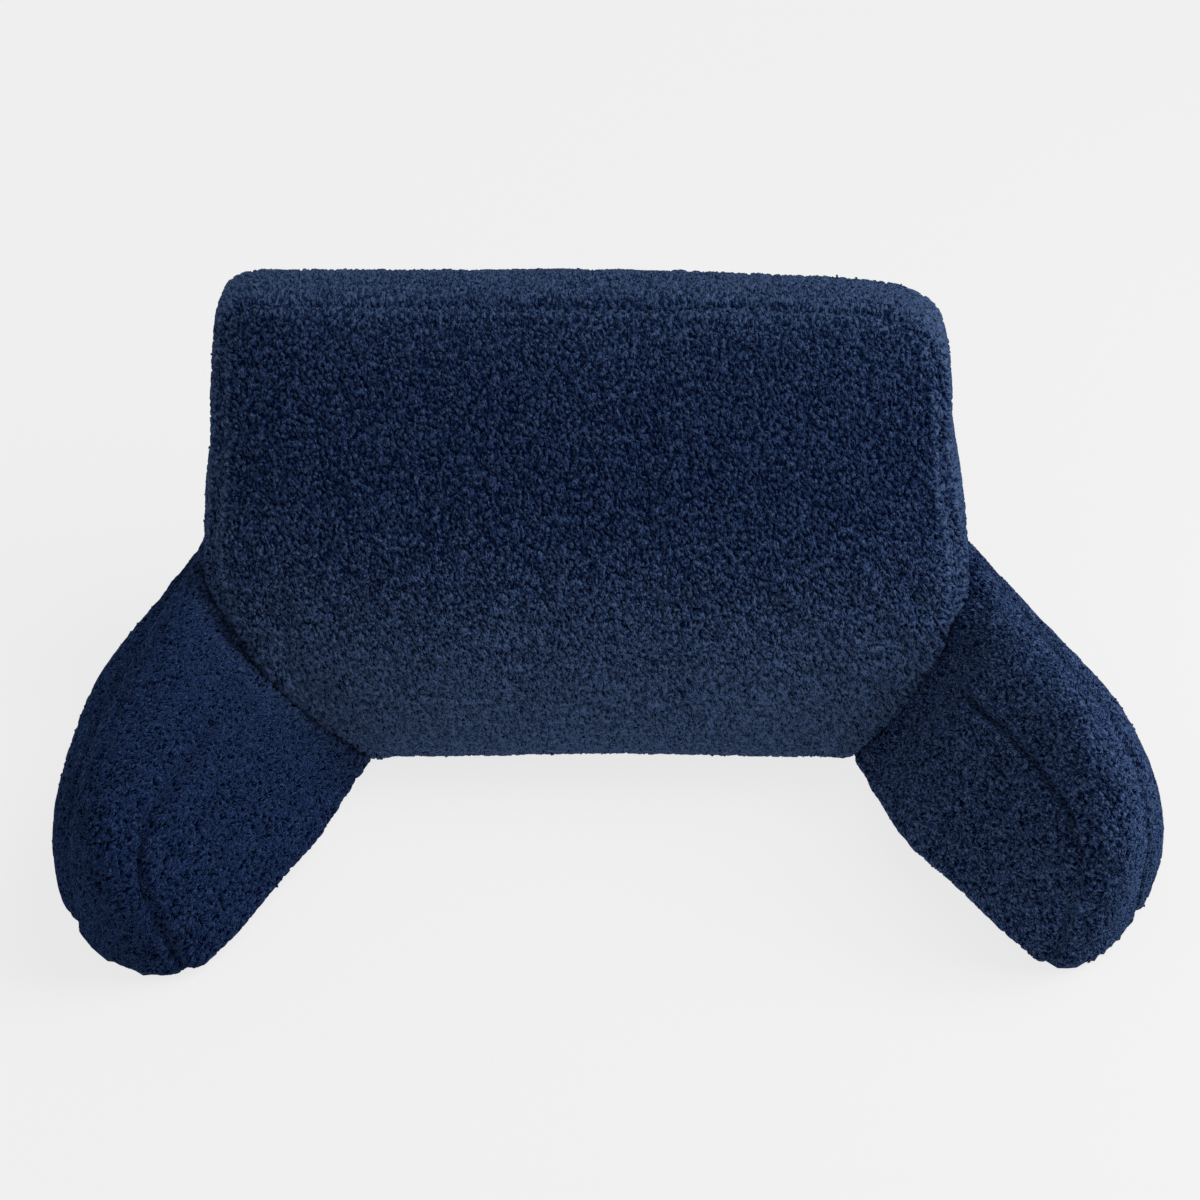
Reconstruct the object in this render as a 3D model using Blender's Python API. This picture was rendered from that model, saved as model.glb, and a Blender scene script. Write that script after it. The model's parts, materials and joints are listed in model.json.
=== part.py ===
"""Cuddle cushion: a boxed backrest and two stuffed arms, standing on its own flat base.

Metres, +Z up, front towards -Y. Sizes are given from the middle of the backrest's lower front edge.
The finished cushion is then moved so that the origin lies under the middle of its bounding box.
Each cushion is a cube, cut into a fine grid, that is stuffed (rounded at its seams and crowned
between them) and then lofted through the sections in its table.
"""

from collections import namedtuple
from math import hypot, pi, sin

import bmesh
import bpy
from mathutils import Vector

NAME = "cuddle_cushion"

# Where an arm is sewn to the backrest: a plane that rises outward from the floor.
SeamPlane = namedtuple("SeamPlane", "side foot slope")
LEFT_SEAM = SeamPlane(side=-1, foot=0.180, slope=0.80)
RIGHT_SEAM = SeamPlane(side=1, foot=0.187, slope=0.550)
HALF_GAP = 0.00015

GROOVE_DEPTH = 0.005
GROOVE_WIDTH = 0.016

# The backrest's sections, from its base to its top seam.
BackRow = namedtuple("BackRow", "front_y front_z back_y back_z left right")
BACK_ROWS = (
    BackRow(0.000, 0.000, 0.205, 0.000, -0.184, 0.187),
    BackRow(-0.018, 0.060, 0.212, 0.065, -0.228, 0.221),
    BackRow(-0.018, 0.120, 0.214, 0.125, -0.276, 0.255),
    BackRow(0.002, 0.178, 0.214, 0.185, -0.304, 0.269),
    BackRow(0.046, 0.238, 0.216, 0.240, -0.299, 0.257),
    BackRow(0.098, 0.298, 0.220, 0.288, -0.297, 0.255),
    BackRow(0.142, 0.344, 0.228, 0.312, -0.294, 0.252),
)
# How far the backrest's top corner at +X hangs lower than the other one.
CORNER_DROOP = 0.014

# The arms' sections, from the backrest to the tip: the foot and the seam of the inner panel,
# then those of the outer panel. The first section lies in the seam plane, which gives its x.
ArmRow = namedtuple("ArmRow", "inner_foot inner_seam outer_seam outer_foot")
RIGHT_ARM_ROWS = (
    ArmRow((None, 0.002, 0), (None, -0.010, 0.122), (None, 0.162, 0.134), (None, 0.197, 0)),
    ArmRow((0.222, -0.091, 0), (0.258, -0.070, 0.138), (0.326, -0.033, 0.158), (0.354, -0.014, 0)),
    ArmRow((0.253, -0.143, 0), (0.291, -0.122, 0.146), (0.353, -0.088, 0.159), (0.380, -0.074, 0)),
    ArmRow((0.290, -0.190, 0), (0.311, -0.178, 0.148), (0.370, -0.148, 0.157), (0.395, -0.130, 0)),
    ArmRow((0.320, -0.228, 0), (0.338, -0.240, 0.148), (0.384, -0.205, 0.152), (0.390, -0.174, 0)),
)
LEFT_ARM_ROWS = (
    ArmRow((None, 0.002, 0), (None, 0.000, 0.125), (None, 0.170, 0.142), (None, 0.197, 0)),
    ArmRow((-0.218, -0.091, 0), (-0.280, -0.070, 0.140), (-0.349, -0.024, 0.157), (-0.356, 0.000, 0)),
    ArmRow((-0.244, -0.143, 0), (-0.294, -0.120, 0.143), (-0.364, -0.082, 0.156), (-0.375, -0.072, 0)),
    ArmRow((-0.275, -0.194, 0), (-0.312, -0.180, 0.144), (-0.377, -0.142, 0.153), (-0.388, -0.133, 0)),
    ArmRow((-0.304, -0.236, 0), (-0.346, -0.245, 0.144), (-0.387, -0.212, 0.148), (-0.397, -0.186, 0)),
)

# How a cushion is stuffed: its three half sizes, how far its two panels and the sides of its
# gusset crown, and the radius of its seams and of its outline's corners. The start and the end are
# the sides at -1 and 1 of the first axis: left and right on the backrest, root and tip on an arm.
# The fullness is a power: the lower it is, the squarer the crown. The seams at the start have a
# radius of their own.
Stuffing = namedtuple("Stuffing", "half panels fullness gusset seam start_seam corners")
Panels = namedtuple("Panels", "front back")
Gusset = namedtuple("Gusset", "top start end")
Corners = namedtuple("Corners", "high_start high_end low_start low_end")
BACK_STUFFING = Stuffing(
    half=(0.280, 0.085, 0.168),
    panels=Panels(front=0.014, back=0.016),
    fullness=0.7,
    gusset=Gusset(top=0.006, start=0.004, end=0.004),
    seam=0.022,
    start_seam=0.022,
    corners=Corners(high_start=0.024, high_end=0.050, low_start=0.004, low_end=0.004),
)
ARM_STUFFING = Stuffing(
    half=(0.150, 0.065, 0.075),
    panels=Panels(front=0.014, back=0.038),
    fullness=0.5,
    gusset=Gusset(top=0.022, start=0.0, end=0.020),
    seam=0.024,
    start_seam=0.008,
    corners=Corners(high_start=0.002, high_end=0.060, low_start=0.002, low_end=0.014),
)

# Cells along the width, the thickness and the height, and how strongly they crowd to the seams.
BACK_GRID = (26, 8, 16)
ARM_GRID = (14, 8, 10)
GRID_CROWDING = 0.78
# Where a grid point counts as part of the gusset, and the nearest that one comes to the middle.
ON_GUSSET = 0.999
NEAR_MIDDLE = 1e-6

NAVY = (0.011, 0.020, 0.048, 1.0)
FLEECE_ROUGHNESS = 0.95


def clear_scene():
    for obj in list(bpy.data.objects):
        bpy.data.objects.remove(obj, do_unlink=True)


def fleece(name):
    material = bpy.data.materials.new(name)
    material.use_nodes = True
    shader = material.node_tree.nodes["Principled BSDF"]
    shader.inputs["Base Color"].default_value = NAVY
    shader.inputs["Roughness"].default_value = FLEECE_ROUGHNESS
    shader.inputs["Metallic"].default_value = 0.0
    return material


def crowded(t):
    """Moves a grid line from -1..1 nearer to the seam at its end."""
    return sin(t * GRID_CROWDING * pi / 2) / sin(GRID_CROWDING * pi / 2)


def grid_cube(grid):
    """A cube from -1 to 1 whose faces are cut into the given number of cells along X, Y and Z."""
    mesh = bmesh.new()
    bmesh.ops.create_cube(mesh, size=2)
    for axis, cells in enumerate(grid):
        along = [e for e in mesh.edges if abs(e.verts[0].co[axis] - e.verts[1].co[axis]) > 1]
        bmesh.ops.subdivide_edges(mesh, edges=along, cuts=cells - 1, use_grid_fill=True)
    for vert in mesh.verts:
        vert.co = Vector(crowded(t) for t in vert.co)
    return mesh


def rounded_corner(u, v, half_u, half_v, radius):
    """A point of a rectangle's outline, drawn in where the corner near it is rounded, and the way out."""
    core_u = min(abs(u), half_u - radius)
    core_v = min(abs(v), half_v - radius)
    way = Vector((abs(u) - core_u, abs(v) - core_v)).normalized()
    place = Vector((core_u, core_v)) + way * radius
    for axis, value in enumerate((u, v)):
        if value < 0:
            place[axis] *= -1
            way[axis] *= -1
    return place, way


def corner_radius(a, c, corners):
    if c > 0:
        return corners.high_end if a > 0 else corners.high_start
    return corners.low_end if a > 0 else corners.low_start


def seam_radius(way, stuffing):
    return stuffing.start_seam if way.x < 0 and abs(way.x) > abs(way.y) else stuffing.seam


def gusset_crown(way, gusset):
    """How far the gusset crowns where its outline faces this way. The base stays flat."""
    side = gusset.end if way.x > 0 else gusset.start
    top = gusset.top if way.y > 0 else 0.0
    return side * way.x**2 + top * way.y**2


def stuffed(a, b, c, stuffing):
    """The place of a cube's point once the cushion is stuffed, still from -1 to 1.

    a and c run in the plane of the two panels, and b from the front panel to the back one.
    """
    half_a, half_b, half_c = stuffing.half
    a = a or NEAR_MIDDLE
    ring = max(abs(a), abs(c))
    radius = corner_radius(a, c, stuffing.corners)
    edge, way = rounded_corner(a / ring * half_a, c / ring * half_c, half_a, half_c, radius)

    # Round the seam, in the plane of the way out from the middle and the thickness.
    seam = seam_radius(way, stuffing)
    out, deep = ring * edge.length, abs(b) * half_b
    core = Vector((min(out, edge.length - seam), min(deep, half_b - seam)))
    away = (Vector((out, deep)) - core).normalized()
    from_seam = hypot((1 - ring) * edge.length, (1 - abs(b)) * half_b)
    groove = GROOVE_DEPTH * max(0.0, 1 - from_seam / GROOVE_WIDTH) ** 2
    is_inside = away.length == 0
    spot = Vector((out, deep)) if is_inside else core + away * (seam - groove)

    # Crown the panels and the gusset between their seams.
    panel = max(0.0, (1 - a**4) * (1 - c * c)) ** stuffing.fullness
    spot.y += panel * (stuffing.panels.front if b < 0 else stuffing.panels.back)
    place = edge * (spot.x / edge.length)
    if ring > ON_GUSSET:
        place += way * gusset_crown(way, stuffing.gusset) * (1 - b * b)
    return place.x / half_a, (spot.y if b > 0 else -spot.y) / half_b, place.y / half_c


def smooth_between(values, t):
    """Runs a smooth curve through evenly spaced values, with t from -1 to 1, and straight on past them."""
    last = len(values) - 1
    place = (t + 1) / 2 * last
    index = min(max(int(place), 0), last - 1)
    here, there = values[index], values[index + 1]
    before = values[index - 1] if index > 0 else here * 2 - there
    after = values[index + 2] if index < last - 1 else there * 2 - here
    f = place - index
    if f < 0 or f > 1:
        return here + (there - here) * f
    return 0.5 * (
        here * 2
        + (there - before) * f
        + (before * 2 - here * 5 + there * 4 - after) * f**2
        + (here * 3 - before - there * 3 + after) * f**3
    )


def mixed(start, end, t):
    """The point between start and end, with t from -1 to 1."""
    return start + (end - start) * (t + 1) / 2


def plane_x(seam, z):
    return seam.side * (seam.foot + seam.slope * z)


def back_point(a, b, c):
    a, b, c = stuffed(a, b, c, BACK_STUFFING)
    front = smooth_between([Vector((0, r.front_y, r.front_z)) for r in BACK_ROWS], c)
    rear = smooth_between([Vector((0, r.back_y, r.back_z)) for r in BACK_ROWS], c)
    sides = smooth_between([Vector((r.left, r.right)) for r in BACK_ROWS], c)
    place = mixed(front, rear, b)
    place.x = mixed(sides.x, sides.y, a)
    place.z -= CORNER_DROOP * (max(a, 0.0) * max(c, 0.0)) ** 2
    place.z = max(place.z, 0.0)
    place.x = max(place.x, plane_x(LEFT_SEAM, place.z) + HALF_GAP)
    place.x = min(place.x, plane_x(RIGHT_SEAM, place.z) - HALF_GAP)
    return place


def arm_sections(rows, seam):
    """The four guide lines of an arm, each a list of points from the seam plane to the tip."""
    sections = []
    for row in rows:
        points = []
        for x, y, z in row:
            if x is None:
                x = plane_x(seam, z) + seam.side * HALF_GAP
            points.append(Vector((x, y, z)))
        sections.append(points)
    return [list(line) for line in zip(*sections)]


def arm_point(a, b, c, lines, seam):
    a, b, c = stuffed(a, b, c, ARM_STUFFING)
    inner_foot, inner_seam, outer_seam, outer_foot = (smooth_between(line, a) for line in lines)
    foot = mixed(inner_foot, outer_foot, b)
    ridge = mixed(inner_seam, outer_seam, b)
    place = mixed(foot, ridge, c)
    place.z = max(place.z, 0.0)
    short = plane_x(seam, place.z) * seam.side + HALF_GAP - place.x * seam.side
    place.x += max(short, 0.0) * seam.side
    return place


def cushion(name, grid, point, mirrored=False):
    """One filled cushion: the grid cube with each point moved to its place."""
    mesh = grid_cube(grid)
    for vert in mesh.verts:
        vert.co = point(*vert.co)
    if mirrored:
        bmesh.ops.reverse_faces(mesh, faces=mesh.faces)
    data = bpy.data.meshes.new(name)
    mesh.to_mesh(data)
    mesh.free()
    data.shade_smooth()
    data.materials.append(fleece(name + "_fleece"))
    return bpy.data.objects.new(name, data)


def arm(name, rows, seam):
    lines = arm_sections(rows, seam)
    return cushion(name, ARM_GRID, lambda a, b, c: arm_point(a, b, c, lines, seam), seam.side < 0)


def stand_on_origin(parts, holder):
    """Moves the holder so that the origin lies under the middle of the parts' box."""
    points = [vert.co for part in parts for vert in part.data.vertices]
    for axis in (0, 1):
        low = min(point[axis] for point in points)
        high = max(point[axis] for point in points)
        holder.location[axis] = -(low + high) / 2


def main():
    clear_scene()
    collection = bpy.data.collections.new(NAME)
    bpy.context.scene.collection.children.link(collection)
    parts = [
        cushion("back", BACK_GRID, back_point),
        arm("arm_left", LEFT_ARM_ROWS, LEFT_SEAM),
        arm("arm_right", RIGHT_ARM_ROWS, RIGHT_SEAM),
    ]
    holder = bpy.data.objects.new(NAME, None)
    collection.objects.link(holder)
    for part in parts:
        part.parent = holder
        collection.objects.link(part)
    stand_on_origin(parts, holder)


main()
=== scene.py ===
"""Looks for the cuddle cushion: a stuffed backrest and two stuffed arms under navy teddy fleece.

Each CAD node becomes a stuffed body, which is remeshed and blown up by Cloth pressure. Over it
lies the fleece, a fine skin that is drawn in at the seams and whose clumps one node pattern raises
and tints. The backrest's skin is cut into panels by the way it faces. Short locks of pile stand out
of every skin. Metres, +Z up, front towards -Y.
"""

import json
from collections import namedtuple
from math import cos, pi, radians, sin

import bmesh
import bpy
import numpy as np
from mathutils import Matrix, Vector
from mathutils.bvhtree import BVHTree
from mathutils.kdtree import KDTree

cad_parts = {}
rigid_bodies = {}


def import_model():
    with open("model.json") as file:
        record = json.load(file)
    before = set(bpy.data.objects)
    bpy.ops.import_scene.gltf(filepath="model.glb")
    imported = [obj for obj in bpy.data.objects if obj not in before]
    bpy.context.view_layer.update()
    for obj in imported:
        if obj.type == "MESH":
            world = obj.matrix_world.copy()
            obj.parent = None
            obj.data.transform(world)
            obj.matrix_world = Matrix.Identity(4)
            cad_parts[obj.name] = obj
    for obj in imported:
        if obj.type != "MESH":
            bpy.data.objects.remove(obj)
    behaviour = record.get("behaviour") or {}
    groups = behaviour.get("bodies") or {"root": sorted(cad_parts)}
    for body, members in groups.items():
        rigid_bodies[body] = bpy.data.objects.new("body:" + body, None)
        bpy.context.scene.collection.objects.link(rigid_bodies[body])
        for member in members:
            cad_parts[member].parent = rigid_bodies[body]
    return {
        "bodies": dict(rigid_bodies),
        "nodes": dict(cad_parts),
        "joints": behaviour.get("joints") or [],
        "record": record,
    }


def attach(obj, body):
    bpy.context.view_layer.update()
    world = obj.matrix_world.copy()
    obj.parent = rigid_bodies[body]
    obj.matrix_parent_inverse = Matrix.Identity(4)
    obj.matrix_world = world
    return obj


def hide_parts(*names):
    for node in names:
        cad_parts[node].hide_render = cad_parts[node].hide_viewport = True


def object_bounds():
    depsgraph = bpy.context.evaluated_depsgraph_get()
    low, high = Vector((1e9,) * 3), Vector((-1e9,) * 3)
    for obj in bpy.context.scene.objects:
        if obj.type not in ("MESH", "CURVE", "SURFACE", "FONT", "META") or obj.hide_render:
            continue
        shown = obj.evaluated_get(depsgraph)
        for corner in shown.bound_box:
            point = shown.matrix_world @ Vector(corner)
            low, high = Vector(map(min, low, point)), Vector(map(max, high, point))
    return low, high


BODY = "root"
SEED = 11

# A pair named for a range or a way gives the two ends between which a thing goes from none to all.

# The stuffed bodies: how far below the CAD surface they start, and how far they may swell.
VOXEL = 0.0070
SMOOTHINGS = 3
BODY_INSET = 0.0048
MOST_SWELL = 0.006

# The cloth that blows them up.
CLOTH_FRAMES = 20
CLOTH_QUALITY = 4
CLOTH_MASS = 0.4
PRESSURE = 4.0
STRETCH_STIFFNESS = 12
SHEAR_STIFFNESS = 4
BENDING_STIFFNESS = 5.0

# The fleece lies flat on the floor. Points of a body that lie nearly on it are put on it.
FLOOR_RANGE = (0.0005, 0.014)
FLOOR_SNAP = 0.0035
NO_FLEECE = 0.001

# Where two cushions are sewn together there is no fleece, and beside the joint it is flatter. Pile
# fills the crease between them in front. Distances are to the nearest neighbouring cushion.
CONTACT = 0.0008
JOINT_RANGE = (0.0, 0.008)
JOINT_FLAT = 0.8
WALL_RANGE = (0.0, 0.020)
CREASE_REACH = 0.045
CREASE_WIDTH = 0.019
CREASE_FORWARD = (-0.3, 0.3)

# The seams are the grooves of the CAD solids, where two faces fold inward and both ends of their
# edge dip below the points around them. The skin swells beside a seam and is drawn in along it.
WELD = 1e-6
GROOVE_ANGLE = -0.10
GROOVE_DIP = 0.0003
SEAM_STEP = 0.001
SEAM_HOLD = (0.0, 0.012)
SEAM_WIDTH = 0.0025
SEAM_DEPTH = 0.0048
# How much painted shade darkens the pile along a seam.
SEAM_PAINTED_SHADE = 0.15
SWELL_AT = 0.0078
SWELL_WIDTH = 0.0040
SWELL_HEIGHT = 0.0024
SIDE_SEAM_OUT = (0.15, 0.45)

# The fleece's skin: how finely it is divided, how high its clumps and its broad lumps are, and how
# far the body sinks under it.
SKIN_LEVELS = 2
PILE_HEIGHT = 0.0032
LUMP_HEIGHT = 0.0026
UNDER_SKIN = 0.0012

# Where painted sheen lightens the pile, as on velvet seen edge-on: on top, low in front and on the
# sides, by how far the skin faces up, back, forward or outward, and by its height.
TOP_UP = (0.3, 0.7)
TOP_BACK = (-0.75, -0.10)
LOW_HEIGHT = (0.03, 0.24)
LOW_FORWARD = (0.2, 0.8)
SIDE_OUT = (0.25, 0.75)
SIDE_HEIGHT = (0.12, 0.22)

# Which panel of the backrest a stretch of skin belongs to, by the way it faces.
Panel = namedtuple("Panel", "name facing")
BACK_PANELS = (
    Panel("face", (0.00, -0.93, 0.36)),
    Panel("gusset", (0.00, 0.35, 0.94)),
    Panel("gusset", (-0.98, 0.00, 0.20)),
    Panel("gusset", (0.98, 0.00, 0.20)),
    Panel("rear", (0.00, 1.00, 0.00)),
)
ARM_PANELS = (Panel("fleece", (0.0, 0.0, 1.0)),)

# A cushion and what it is sewn to. Its pile points against lay, and is brushed down below one
# height and curly above the other, as flat as most_brushed says. The pattern shrinks by fineness,
# and the brushed pile's contrast grows by crisp. crease_fill is how high pile fills the crease,
# sewn how deep the seams are drawn in, and side_sewn the share of that at the sides. The last five
# paint light and shade into the pile's colour, lighter above 0 and darker below: painted light and
# shade all over, painted sheen on top, low in front and on the sides, and in the crease painted
# light that lifts its shadow, or below 0 painted shade that deepens it.
Cushion = namedtuple(
    "Cushion",
    "node neighbours panels lay brushed_below curly_above most_brushed fineness crisp"
    " crease_fill sewn side_sewn tone top_tone low_tone side_tone crease_tone",
)
CUSHIONS = (
    Cushion(
        "back",
        neighbours=("arm_left", "arm_right"),
        panels=BACK_PANELS,
        lay=(-0.40, 0.0, 0.92),
        brushed_below=0.13,
        curly_above=0.25,
        most_brushed=1.0,
        fineness=1.0,
        crisp=2.4,
        crease_fill=0.003,
        sewn=0.32,
        side_sewn=0.2,
        tone=0.11,
        # Painted sheen on top, low in front and on the sides of the backrest.
        top_tone=0.37,
        low_tone=0.54,
        side_tone=0.26,
        crease_tone=0.0,
    ),
    Cushion(
        "arm_left",
        neighbours=("back",),
        panels=ARM_PANELS,
        lay=(-0.50, -0.85, -0.25),
        brushed_below=0.20,
        curly_above=0.30,
        most_brushed=1.5,
        fineness=1.05,
        crisp=-0.1,
        crease_fill=0.009,
        sewn=0.75,
        side_sewn=1.0,
        # Painted shade all over the left arm, as lit from the right.
        tone=-0.12,
        top_tone=0.0,
        low_tone=0.0,
        side_tone=0.0,
        # Painted light in the crease, lifting the shadow that the backrest casts on the left arm.
        crease_tone=0.35,
    ),
    Cushion(
        "arm_right",
        neighbours=("back",),
        panels=ARM_PANELS,
        lay=(0.50, -0.85, -0.25),
        brushed_below=0.20,
        curly_above=0.30,
        most_brushed=1.1,
        fineness=1.05,
        crisp=1.8,
        crease_fill=0.009,
        sewn=1.0,
        side_sewn=1.0,
        # Painted light all over the right arm, as lit from the right.
        tone=0.16,
        top_tone=0.0,
        low_tone=0.0,
        side_tone=0.0,
        # Painted shade in the crease beside the right arm.
        crease_tone=-0.35,
    ),
)

# The pattern of the pile: slits where it parts, wider where it stands up than where it is brushed
# down, and winding cracks between its clumps. The stretch draws both out along the pile.
Noise = namedtuple("Noise", "scale detail roughness distortion")
PILE_STRETCH = (1.0, 0.55, 0.50)
SLITS = Noise(500, 1.0, 0.5, 0.6)
SLIT_LOW = 0.375
SLIT_HIGH = 0.575
BRUSHED_LOW = -0.05
BRUSHED_HIGH = -0.055
CRACKS = Noise(350, 1.5, 0.5, 0.8)
CRACK_SHIFT = (0.37, 0.11, 0.53)
CRACK_WIDTH = 0.035
CRACK_SHARE = 0.50
LUMPS = Noise(50, 1.0, 0.5, 0.0)
FIBRES = Noise(900, 2.0, 0.6, 0.6)

# Locks of pile that stand out of the skin: where along a lock its rings lie, and how wide.
LOCKS_PER_FACE = 0.030
Ring = namedtuple("Ring", "along width")
LOCK_RINGS = (Ring(0.0, 0.4), Ring(0.5, 0.5), Ring(1.0, 0.0))
LOCK_SIDES = 3
LOCK_STEPS = 24
LOCK_LENGTH = (0.0034, 0.0050)
LOCK_WIDTH = (0.0016, 0.0026)
LOCK_LEAN = (0.7, 1.1)
LOCK_CURL = (1.1, 1.8)
LOCK_SWAY = 0.18
LOCK_SPLAY = 0.22
LOCK_ROOT = 0.001
LOCK_OFF_FLOOR = 0.0005
# The least thickness of fleece that carries a lock, and how much brushing orders the locks.
LOCK_THICKNESS = 0.35
BRUSHED_ORDER = 0.65

# The colours of the pile from its depth to its tips, and what adds to the tint, from 0 to 1, that
# picks one: the fibres' contrast, the clumps' height, and for a lock how far it is to the tip. The
# dark end is painted shade: the clumps' height darkens the slits and cracks, and a lock its root.
DARK = (0.0004, 0.0026, 0.0175, 1)
MIDDLE = (0.0110, 0.0232, 0.0720, 1)
LIGHT = (0.0540, 0.0880, 0.1780, 1)
FIBRE_CONTRAST = 2.2
TINT_SHIFT = -0.02
PAINTED_DEPTH_SHADE = 0.50
# A lock's tint rises from its root to its tip, with painted shade at the root.
LOCK_ROOT_TINT = 0.30
LOCK_TIP_TINT = 0.35
LOCK_TINT_SPREAD = 0.15
BUMP_HEIGHT = 0.0020
FIBRE_BUMP = 0.16
FLEECE_SHADER = {
    "Roughness": 0.9,
    "Specular IOR Level": 0.0,
    "Sheen Weight": 0.6,
    "Sheen Roughness": 0.22,
    "Sheen Tint": (0.10, 0.19, 0.37, 1),
}
FLOOR_SHADER = {
    "Base Color": (0.09, 0.09, 0.09, 1),
    "Emission Color": (1, 1, 1, 1),
    "Emission Strength": 0.780,
    "Roughness": 1.0,
    "Specular IOR Level": 0.0,
}
FLOOR_SIZE = 30
FLOOR_DROP = 0.0005
SKY_STRENGTH = 0.35

# The camera, aimed near the middle of the cushion.
ELEVATION = radians(40)
DISTANCE = 2.382
AIM = Vector((-0.008, 0.0, 0.0))
LENS = 95.8


def smooth(values, ends):
    """0 below a range's low end, 1 above its high end and a smooth step between."""
    low, high = ends
    t = np.clip((values - low) / (high - low), 0.0, 1.0)
    return t * t * (3 - 2 * t)


def link(name, data):
    obj = bpy.data.objects.new(name, data)
    bpy.context.scene.collection.objects.link(obj)
    return obj


def points_of(mesh):
    co = np.empty(len(mesh.vertices) * 3, np.float32)
    mesh.vertices.foreach_get("co", co)
    return co.reshape(-1, 3).astype(float)


def normals_of(mesh):
    """Vertex normals."""
    normals = np.empty(len(mesh.vertices) * 3, np.float32)
    mesh.vertices.foreach_get("normal", normals)
    return normals.reshape(-1, 3).astype(float)


def set_points(mesh, points):
    mesh.vertices.foreach_set("co", points.astype(np.float32).ravel())
    mesh.update()


def set_attribute(mesh, name, values):
    """Stores one number or one vector for each vertex."""
    is_vector = values.ndim == 2
    kind = "FLOAT_VECTOR" if is_vector else "FLOAT"
    attribute = mesh.attributes.get(name) or mesh.attributes.new(name, kind, "POINT")
    attribute.data.foreach_set("vector" if is_vector else "value", values.astype(np.float32).ravel())


def attribute_of(mesh, name):
    """The number stored for each vertex."""
    values = np.empty(len(mesh.vertices), np.float32)
    mesh.attributes[name].data.foreach_get("value", values)
    return values.astype(float)


def vectors_of(mesh, name):
    """The vector stored for each vertex."""
    values = np.empty(len(mesh.vertices) * 3, np.float32)
    mesh.attributes[name].data.foreach_get("vector", values)
    return values.reshape(-1, 3).astype(float)


def applied(obj):
    """Replaces the object's mesh with its evaluated one and clears its modifiers."""
    graph = bpy.context.evaluated_depsgraph_get()
    mesh = bpy.data.meshes.new_from_object(obj.evaluated_get(graph))
    obj.modifiers.clear()
    obj.data = mesh
    return obj


# --- Shape of the cushions -----------------------------------------------------------------


def welded(node):
    """The CAD node's mesh with its corners joined."""
    mesh = bmesh.new()
    mesh.from_mesh(node.data)
    bmesh.ops.remove_doubles(mesh, verts=mesh.verts, dist=WELD)
    mesh.normal_update()
    return mesh


def seam_tree(cage):
    """A search tree of points along the grooves of a CAD solid."""

    def dips(vert):
        """Whether the vertex lies deeper than the middle of those around it."""
        ring = [edge.other_vert(vert).co for edge in vert.link_edges]
        middle = sum(ring, Vector()) / len(ring)
        return (middle - vert.co).dot(vert.normal) > GROOVE_DIP

    places = []
    for edge in cage.edges:
        start, end = edge.verts
        if edge.calc_face_angle_signed() > GROOVE_ANGLE or not dips(start) or not dips(end):
            continue
        steps = max(1, int(edge.calc_length() / SEAM_STEP))
        places += [start.co.lerp(end.co, step / steps) for step in range(steps + 1)]
    tree = KDTree(len(places))
    for index, place in enumerate(places):
        tree.insert(place, index)
    tree.balance()
    return tree


def distance_to_seam(points, tree):
    return np.array([tree.find(point)[2] for point in points])


def distance_to_neighbours(points, walls):
    """How far each point is from the nearest neighbouring cushion, up to the crease's reach."""
    nearest = np.full(len(points), CREASE_REACH)
    for index, point in enumerate(points):
        for wall in walls:
            distance = wall.find_nearest(point, CREASE_REACH)[3]
            if distance is not None and distance < nearest[index]:
                nearest[index] = distance
    return nearest


def thickness(points):
    """1 where the pile has its full height, and 0 where it is pressed flat on the floor."""
    return smooth(points[:, 2], FLOOR_RANGE)


def looseness(points, gap):
    """1 where the cushion is free to swell, and 0 on the floor and where it is sewn to another."""
    return thickness(points) * smooth(gap, WALL_RANGE)


def blow_up(obj, hold):
    """Runs Cloth with pressure from inside. The hold, 0 to 1, keeps a point where it is."""
    group = obj.vertex_groups.new(name="hold")
    for index, weight in enumerate(hold):
        group.add([index], float(weight), "REPLACE")
    cloth = obj.modifiers.new("cloth", "CLOTH")
    settings = cloth.settings
    settings.quality = CLOTH_QUALITY
    settings.mass = CLOTH_MASS
    settings.tension_stiffness = STRETCH_STIFFNESS
    settings.compression_stiffness = STRETCH_STIFFNESS
    settings.shear_stiffness = SHEAR_STIFFNESS
    settings.bending_stiffness = BENDING_STIFFNESS
    settings.use_pressure = True
    settings.uniform_pressure_force = PRESSURE
    settings.vertex_group_mass = group.name
    settings.effector_weights.gravity = 0
    cloth.point_cache.frame_start = 1
    cloth.point_cache.frame_end = CLOTH_FRAMES
    scene = bpy.context.scene
    for frame_number in range(1, CLOTH_FRAMES + 1):
        scene.frame_set(frame_number)
    graph = bpy.context.evaluated_depsgraph_get()
    swollen = points_of(obj.evaluated_get(graph).data)
    obj.modifiers.clear()
    obj.vertex_groups.clear()
    scene.frame_set(1)
    return swollen


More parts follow.
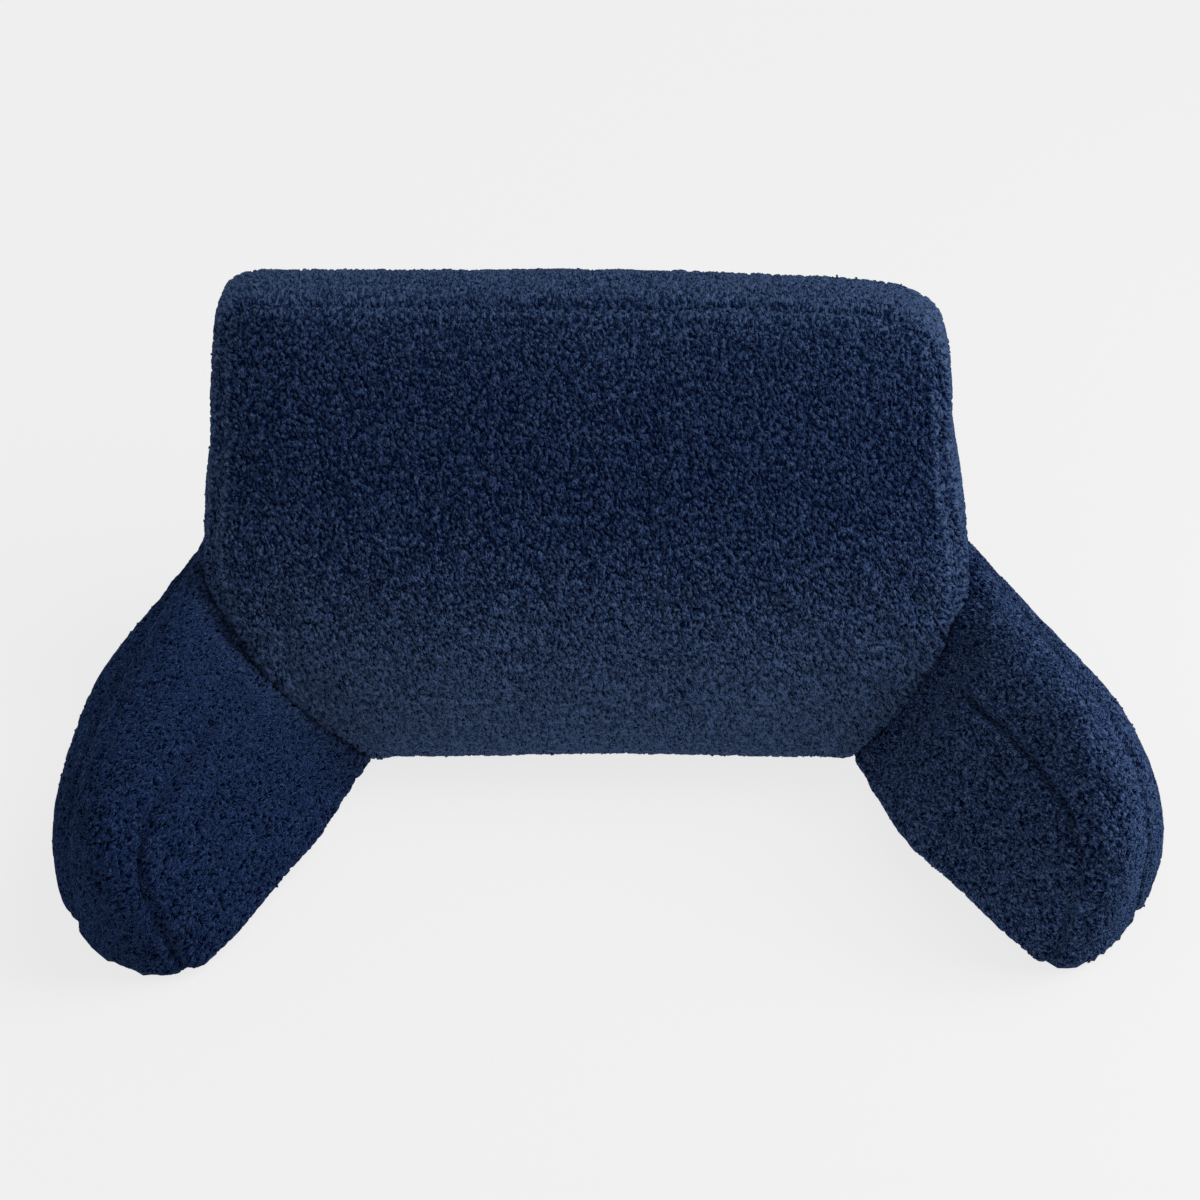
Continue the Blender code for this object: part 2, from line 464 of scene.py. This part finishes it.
def stuffed_body(name, solid, cage, seams, walls):
    """The cushion under its fleece, as a closed mesh."""
    mesh = bpy.data.meshes.new(name)
    cage.to_mesh(mesh)
    obj = link(name, mesh)
    remesh = obj.modifiers.new("remesh", "REMESH")
    remesh.mode = "VOXEL"
    remesh.voxel_size = VOXEL
    even = obj.modifiers.new("even", "SMOOTH")
    even.iterations = SMOOTHINGS
    outward = obj.modifiers.new("outward", "SHRINKWRAP")
    outward.target = solid
    applied(obj)

    points = points_of(obj.data)
    points[:, 2] = np.where(points[:, 2] < FLOOR_SNAP, 0.0, points[:, 2])
    gap = distance_to_neighbours(points, walls)
    loose = looseness(points, gap)
    free = loose * smooth(distance_to_seam(points, seams), SEAM_HOLD)
    points -= normals_of(obj.data) * (BODY_INSET * loose)[:, None]
    set_points(obj.data, points)
    # The swell eases off towards its limit.
    swell = blow_up(obj, 1 - free) - points
    reach = np.linalg.norm(swell, axis=1)
    limit = MOST_SWELL * free
    points += swell * (limit * np.tanh(reach / MOST_SWELL) / np.maximum(reach, 1e-9))[:, None]
    set_points(obj.data, points)
    return obj


# --- The fleece ---------------------------------------------------------------------------


class Tree:
    """Makes and joins nodes of a shader or of Geometry Nodes."""

    def __init__(self, tree):
        self.tree = tree

    def node(self, kind, **settings):
        node = self.tree.nodes.new(kind)
        for name, value in settings.items():
            setattr(node, name, value)
        return node

    def give(self, node, **inputs):
        """Sets or joins a node's inputs, named as in Blender with _ for a space, or as in_0."""
        for name, value in inputs.items():
            key = int(name[3:]) if name.startswith("in_") else name.replace("_", " ")
            if isinstance(value, bpy.types.NodeSocket):
                self.tree.links.new(value, node.inputs[key])
            else:
                node.inputs[key].default_value = value
        return node.outputs[0] if node.outputs else None

    def math(self, operation, *values):
        node = self.node("ShaderNodeMath", operation=operation)
        return self.give(node, **{f"in_{i}": value for i, value in enumerate(values)})

    def vector_math(self, operation, *values, **inputs):
        node = self.node("ShaderNodeVectorMath", operation=operation)
        return self.give(node, **{f"in_{i}": value for i, value in enumerate(values)}, **inputs)

    def noise(self, place, kind):
        return self.give(
            self.node("ShaderNodeTexNoise"),
            Vector=place,
            Scale=kind.scale,
            Detail=kind.detail,
            Roughness=kind.roughness,
            Distortion=kind.distortion,
        )


def pile_pattern(tree, place, brushed):
    """How high the pile stands, from 0 in a slit or crack to 1 on a clump."""
    even = tree.vector_math("MULTIPLY", place, PILE_STRETCH)
    low = tree.math("MULTIPLY_ADD", brushed, BRUSHED_LOW, SLIT_LOW)
    high = tree.math("MULTIPLY_ADD", brushed, BRUSHED_HIGH, SLIT_HIGH)
    noise = tree.noise(even, SLITS)
    step = tree.node("ShaderNodeMapRange", interpolation_type="SMOOTHSTEP")
    slits = tree.give(step, Value=noise, From_Min=low, From_Max=high)
    moved = tree.vector_math("ADD", even, CRACK_SHIFT)
    noise = tree.noise(moved, CRACKS)
    step = tree.node("ShaderNodeMapRange", interpolation_type="LINEAR")
    fold = tree.math("ABSOLUTE", tree.math("SUBTRACT", noise, 0.5))
    cracks = tree.give(step, Value=fold, From_Max=CRACK_WIDTH, To_Min=1 - CRACK_SHARE)
    return tree.math("MULTIPLY", slits, cracks)


def relief_group():
    """Geometry Nodes that raise the clumps where the skin is thick, and draw in the seams."""
    group = bpy.data.node_groups.new("pile_relief", "GeometryNodeTree")
    for way in ("INPUT", "OUTPUT"):
        group.interface.new_socket("Geometry", in_out=way, socket_type="NodeSocketGeometry")
    tree = Tree(group)

    def named(name):
        return tree.give(tree.node("GeometryNodeInputNamedAttribute", data_type="FLOAT"), Name=name)

    place = tree.give(
        tree.node("GeometryNodeInputNamedAttribute", data_type="FLOAT_VECTOR"), Name="grain"
    )
    clumps = pile_pattern(tree, place, named("brushed"))
    lumps = tree.noise(place, LUMPS)
    high = tree.math("MULTIPLY_ADD", lumps, LUMP_HEIGHT, tree.math("MULTIPLY", clumps, PILE_HEIGHT))
    high = tree.math("MULTIPLY", high, named("thick"))
    high = tree.math("ADD", high, named("sewn"))
    normal = tree.node("GeometryNodeInputNormal").outputs[0]
    offset = tree.vector_math("SCALE", normal, Scale=high)
    skin = tree.node("NodeGroupInput").outputs[0]
    moved = tree.give(tree.node("GeometryNodeSetPosition"), Geometry=skin, Offset=offset)
    tree.give(tree.node("NodeGroupOutput"), in_0=moved)
    return group


def along_pile(points, cushion):
    """Places in a frame whose third axis follows the pile, for the patterns of the pile."""
    third = Vector(cushion.lay).normalized()
    first = Vector((0, 1, 0)).cross(third) if abs(third.y) < 0.5 else third.cross(Vector((0, 0, 1)))
    first.normalize()
    frame = np.array([first, third.cross(first), third])
    return points @ frame.T * cushion.fineness


def painted_sheen_and_light(points, ways, cushion):
    """Painted light and shade all over, and painted sheen on top, low in front and on the sides."""
    top = smooth(ways[:, 2], TOP_UP) * smooth(ways[:, 1], TOP_BACK)
    low = (1 - smooth(points[:, 2], LOW_HEIGHT)) * smooth(-ways[:, 1], LOW_FORWARD)
    side = smooth(np.abs(ways[:, 0]), SIDE_OUT) * smooth(points[:, 2], SIDE_HEIGHT)
    painted_sheens = (cushion.top_tone * top, cushion.low_tone * low, cushion.side_tone * side)
    return cushion.tone + sum(painted_sheens)


def skin_over(name, body, cushion, seams, walls, relief):
    """The fleece over a body: a finer mesh of it with the clumps raised.

    It stores for each point its place in the pattern, the way it faced before they were, how thick
    the fleece is, whether it is seen, how far the seams and the crease move it, and its looks."""
    skin = link(name, body.data.copy())
    fine = skin.modifiers.new("fine", "SUBSURF")
    fine.levels = fine.render_levels = SKIN_LEVELS
    applied(skin)
    mesh = skin.data
    points = points_of(mesh)
    normals = normals_of(mesh)
    gap = distance_to_neighbours(points, walls)
    thick = thickness(points)
    crease = np.exp(-((gap / CREASE_WIDTH) ** 2))
    inset = normals * (BODY_INSET * looseness(points, gap))[:, None]
    away = distance_to_seam(points + inset, seams)
    sewn = thick * (1 - crease) * cushion.sewn
    sewn *= 1 - (1 - cushion.side_sewn) * smooth(np.abs(normals[:, 0]), SIDE_SEAM_OUT)
    seam = np.exp(-((away / SEAM_WIDTH) ** 2)) * sewn
    swell = np.exp(-(((away - SWELL_AT) / SWELL_WIDTH) ** 2)) * sewn
    set_attribute(mesh, "grain", along_pile(points, cushion))
    set_attribute(mesh, "way", normals)
    set_attribute(mesh, "thick", thick * (1 - JOINT_FLAT * (1 - smooth(gap, JOINT_RANGE))))
    set_attribute(mesh, "seen", (gap > CONTACT) & (thick > NO_FLEECE))
    filled = crease * thick * smooth(-normals[:, 1], CREASE_FORWARD) * cushion.crease_fill
    set_attribute(mesh, "sewn", swell * SWELL_HEIGHT - seam * SEAM_DEPTH + filled)
    # The painted light, sheen and shade in the pile's colour: by the way the skin faces, along the
    # seams, and in the crease.
    tone = painted_sheen_and_light(points, normals, cushion) - seam * SEAM_PAINTED_SHADE + crease * cushion.crease_tone
    set_attribute(mesh, "tone", tone)
    brushed = 1 - smooth(points[:, 2], (cushion.brushed_below, cushion.curly_above))
    set_attribute(mesh, "crisp", brushed * cushion.crisp)
    set_attribute(mesh, "brushed", brushed * cushion.most_brushed)
    raise_clumps = skin.modifiers.new("relief", "NODES")
    raise_clumps.node_group = relief
    applied(skin)
    points = points_of(skin.data)
    points[:, 2] = np.maximum(points[:, 2], 0.0)
    set_points(skin.data, points)
    return skin


def corners_of(mesh):
    """Each face's four vertices."""
    corners = np.empty(len(mesh.loops), np.int32)
    mesh.loops.foreach_get("vertex_index", corners)
    return corners.reshape(-1, 4)


def mesh_of(name, points, faces, attributes):
    """A smooth mesh object from arrays, with all faces of one number of sides."""
    mesh = bpy.data.meshes.new(name)
    sides = faces.shape[1]
    mesh.vertices.add(len(points))
    mesh.loops.add(faces.size)
    mesh.polygons.add(len(faces))
    mesh.vertices.foreach_set("co", points.astype(np.float32).ravel())
    mesh.loops.foreach_set("vertex_index", faces.astype(np.int32).ravel())
    mesh.polygons.foreach_set("loop_start", np.arange(0, faces.size, sides, dtype=np.int32))
    mesh.update(calc_edges=True)
    mesh.shade_smooth()
    for attribute, values in attributes.items():
        set_attribute(mesh, attribute, values)
    return link(name, mesh)


def cut_into_panels(skin, cushion):
    """The skin's panels as objects of their own, without the stretches that nobody sees."""
    mesh = skin.data
    corners = corners_of(mesh)
    facing = vectors_of(mesh, "way")[corners].mean(axis=1)
    is_seen = attribute_of(mesh, "seen")[corners].max(axis=1) > 0.5
    ways = np.array([panel.facing for panel in cushion.panels])
    best = np.argmax(facing @ ways.T, axis=1)
    points = points_of(mesh)
    stored = {"grain": vectors_of(mesh, "grain")}
    for name in ("brushed", "crisp", "tone"):
        stored[name] = attribute_of(mesh, name)
    names = [panel.name for panel in cushion.panels]
    made = []
    for name in sorted(set(names)):
        chosen = is_seen & np.isin(best, [i for i, other in enumerate(names) if other == name])
        used, faces = np.unique(corners[chosen], return_inverse=True)
        attributes = {kept: values[used] for kept, values in stored.items()}
        piece = mesh_of(f"{cushion.node}_{name}", points[used], faces.reshape(-1, 4), attributes)
        made.append(piece)
    return made


def unit(vectors):
    return vectors / np.linalg.norm(vectors, axis=-1, keepdims=True)


def lock_arrays(roots, ways, lay, rng):
    """Points, triangles and attributes of curved, three-sided locks."""
    count = len(roots)
    side = np.cross(ways, lay)
    length = rng.uniform(*LOCK_LENGTH, (count, 1))
    width = rng.uniform(*LOCK_WIDTH, (count, 1))
    lean = rng.uniform(*LOCK_LEAN, (count, 1))
    curl = rng.uniform(*LOCK_CURL, (count, 1))
    sway = rng.normal(0, LOCK_SWAY, (count, 1))
    turn = rng.uniform(0, 2 * pi, (count, 1))
    angle = lean + curl * np.linspace(0, 1, LOCK_STEPS)
    over = np.cumsum(np.sin(angle), axis=1) / LOCK_STEPS
    up = np.cumsum(np.cos(angle), axis=1) / LOCK_STEPS
    rings = []
    shares = []
    for ring in LOCK_RINGS:
        step = round(ring.along * (LOCK_STEPS - 1))
        here = roots + length * (
            ways * up[:, step, None] + lay * over[:, step, None] + side * sway * ring.along**2
        )
        bend = angle[:, step, None]
        across = ways * np.sin(bend) - lay * np.cos(bend)
        for corner in range(LOCK_SIDES if ring.width else 1):
            phase = turn + 2 * pi * corner / LOCK_SIDES + ring.along
            rings.append(here + (side * np.cos(phase) + across * np.sin(phase)) * width * ring.width)
            shares.append(ring.along)
    points = np.stack(rings, axis=1)
    faces = []
    for start in range(0, LOCK_SIDES * (len(LOCK_RINGS) - 2), LOCK_SIDES):
        for corner in range(LOCK_SIDES):
            here, there = start + corner, start + (corner + 1) % LOCK_SIDES
            faces.append((here, there, there + LOCK_SIDES))
            faces.append((here, there + LOCK_SIDES, here + LOCK_SIDES))
    tip = len(rings) - 1
    last = tip - LOCK_SIDES
    faces += [(last + c, last + (c + 1) % LOCK_SIDES, tip) for c in range(LOCK_SIDES)]
    all_faces = (np.array(faces) + np.arange(count)[:, None, None] * len(rings)).reshape(-1, 3)
    along = np.array(shares) + rng.normal(0, LOCK_TINT_SPREAD, (count, 1))
    return points.reshape(-1, 3), all_faces, along.ravel()


def locks_on(name, skin, cushion, rng):
    """Locks of pile over a whole skin, in order where it is brushed and every way where it curls."""
    mesh = skin.data
    corners = corners_of(mesh)
    is_thick = attribute_of(mesh, "thick")[corners].mean(axis=1) > LOCK_THICKNESS
    is_seen = attribute_of(mesh, "seen")[corners].min(axis=1) > 0.5
    chosen = np.flatnonzero(rng.random(len(corners)) < LOCKS_PER_FACE * (is_thick & is_seen))
    share = rng.dirichlet(np.ones(4), len(chosen))[:, :, None]
    picked = corners[chosen]
    roots = (points_of(mesh)[picked] * share).sum(axis=1)
    splay = rng.normal(0, LOCK_SPLAY, (len(chosen), 3))
    ways = unit(vectors_of(mesh, "way")[picked].mean(axis=1) + splay)
    brushed = attribute_of(mesh, "brushed")[picked].mean(axis=1)
    lay = rng.normal(0, 1, (len(chosen), 3)) * (1.0 - BRUSHED_ORDER * brushed)[:, None]
    lay -= np.array(cushion.lay) * brushed[:, None]
    lay = unit(lay - ways * (lay * ways).sum(axis=1, keepdims=True))
    points, faces, along = lock_arrays(roots - ways * LOCK_ROOT, ways, lay, rng)
    points[:, 2] = np.maximum(points[:, 2], LOCK_OFF_FLOOR)
    # Each lock takes the painted light and shade of the skin around its root.
    tone = np.repeat(attribute_of(mesh, "tone")[picked].mean(axis=1), len(points) // len(chosen))
    return mesh_of(name, points, faces, {"grain": points, "along": along, "tone": tone})


# --- Materials -----------------------------------------------------------------------------


def principled(material, settings):
    """The material's shader, with its sockets set."""
    material.use_nodes = True
    shader = material.node_tree.nodes["Principled BSDF"]
    for name, value in settings.items():
        shader.inputs[name].default_value = value
    return shader


def ramp(tree, value):
    """The pile's colour for a tint from 0 to 1."""
    node = tree.node("ShaderNodeValToRGB")
    elements = node.color_ramp.elements
    elements[0].color = DARK
    elements[1].color = LIGHT
    elements.new(0.5).color = MIDDLE
    return tree.give(node, Fac=value)


def fleece_material(name, is_lock):
    """Navy teddy fleece. A skin gets painted shade in the slits and cracks between its clumps, and a
    lock painted shade towards its root.
    """
    material = bpy.data.materials.new(name)
    shader = principled(material, FLEECE_SHADER)
    tree = Tree(material.node_tree)

    def named(attribute, output):
        return tree.node("ShaderNodeAttribute", attribute_name=attribute).outputs[output]

    place = named("grain", "Vector")
    if is_lock:
        height = tree.math("MULTIPLY_ADD", named("along", "Fac"), LOCK_TIP_TINT, LOCK_ROOT_TINT)
    else:
        height = pile_pattern(tree, place, named("brushed", "Fac"))
    fibre_place = tree.vector_math("MULTIPLY", place, PILE_STRETCH)
    fibres = tree.noise(fibre_place, FIBRES)
    contrast = tree.math("ADD", named("crisp", "Fac"), FIBRE_CONTRAST)
    tint = tree.math("MULTIPLY_ADD", tree.math("SUBTRACT", fibres, 0.5), contrast, TINT_SHIFT)
    # Painted shade in the slits and cracks, and at a lock's root.
    tint = tree.math("MULTIPLY_ADD", height, PAINTED_DEPTH_SHADE, tint)
    # Adds the painted light, sheen and shade stored on the skin.
    tint = tree.math("ADD", tint, named("tone", "Fac"))
    relief = tree.math("MULTIPLY_ADD", fibres, FIBRE_BUMP, height)
    bump = tree.node("ShaderNodeBump")
    tree.give(bump, Strength=1.0, Distance=BUMP_HEIGHT, Height=relief)
    tree.give(shader, Base_Color=ramp(tree, tint), Normal=bump.outputs[0])
    return material


# --- The set -------------------------------------------------------------------------------


def add_floor():
    bpy.ops.mesh.primitive_plane_add(size=FLOOR_SIZE)
    floor = bpy.context.object
    floor.name = "floor"
    floor.location.z = -FLOOR_DROP
    material = bpy.data.materials.new("pale_floor")
    principled(material, FLOOR_SHADER)
    floor.data.materials.append(material)


def add_lamp(name, place, target, size, power):
    data = bpy.data.lights.new(name, "AREA")
    data.size = size
    data.energy = power
    light = link(name, data)
    light.location = place
    light.rotation_euler = (Vector(target) - Vector(place)).to_track_quat("-Z", "Y").to_euler()


def add_sun(name, towards, strength, spread):
    """A soft light from far off, the same over the whole floor."""
    data = bpy.data.lights.new(name, "SUN")
    data.angle = spread
    data.energy = strength
    light = link(name, data)
    light.rotation_euler = Vector(towards).to_track_quat("Z", "Y").to_euler()


def add_set():
    world = bpy.data.worlds.new("studio")
    bpy.context.scene.world = world
    world.use_nodes = True
    background = world.node_tree.nodes["Background"]
    background.inputs["Color"].default_value = (1, 1, 1, 1)
    background.inputs["Strength"].default_value = SKY_STRENGTH
    add_sun("key", towards=(0.6, 0.1, 1.0), strength=1.5, spread=radians(35))
    add_sun("front", towards=(-0.7, -1.0, 0.5), strength=0.6, spread=radians(80))
    add_lamp("side", place=(1.5, -0.2, 1.0), target=(0.2, 0.0, 0.1), size=0.8, power=16)
    add_floor()


def add_camera(middle):
    data = bpy.data.cameras.new("camera")
    data.lens = LENS
    camera = link("camera", data)
    back = Vector((0, -cos(ELEVATION), sin(ELEVATION)))
    camera.location = middle + AIM + back * DISTANCE
    camera.rotation_euler = (-back).to_track_quat("-Z", "Y").to_euler()
    bpy.context.scene.camera = camera
    bpy.context.scene.view_settings.view_transform = "Standard"


def dress(cushion, frame, relief, skin_material, lock_material, rng):
    """Makes a cushion's body, panels and locks, and hangs them on the frame."""
    solid = frame["nodes"][cushion.node]
    cage = welded(solid)
    walls = [BVHTree.FromBMesh(welded(frame["nodes"][name])) for name in cushion.neighbours]
    seams = seam_tree(cage)
    body = stuffed_body(f"{cushion.node}_body", solid, cage, seams, walls)
    skin = skin_over(f"{cushion.node}_skin", body, cushion, seams, walls, relief)
    locks = locks_on(f"{cushion.node}_locks", skin, cushion, rng)
    panels = cut_into_panels(skin, cushion)
    bpy.data.objects.remove(skin)
    points = points_of(body.data)
    sunk = UNDER_SKIN * looseness(points, distance_to_neighbours(points, walls))
    points -= normals_of(body.data) * sunk[:, None]
    set_points(body.data, points)
    set_attribute(body.data, "grain", points)
    body.data.shade_smooth()
    for piece in [body, *panels, locks]:
        piece.data.materials.clear()
        piece.data.materials.append(lock_material if piece is locks else skin_material)
        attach(piece, BODY)
    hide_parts(cushion.node)


def main():
    for obj in list(bpy.data.objects):
        bpy.data.objects.remove(obj, do_unlink=True)
    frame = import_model()
    cad_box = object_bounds()
    middle = (cad_box[0] + cad_box[1]) / 2
    rng = np.random.default_rng(SEED)
    add_camera(middle)
    add_set()
    relief = relief_group()
    skin_material = fleece_material("fleece", is_lock=False)
    lock_material = fleece_material("fleece_locks", is_lock=True)
    for cushion in CUSHIONS:
        dress(cushion, frame, relief, skin_material, lock_material, rng)


main()
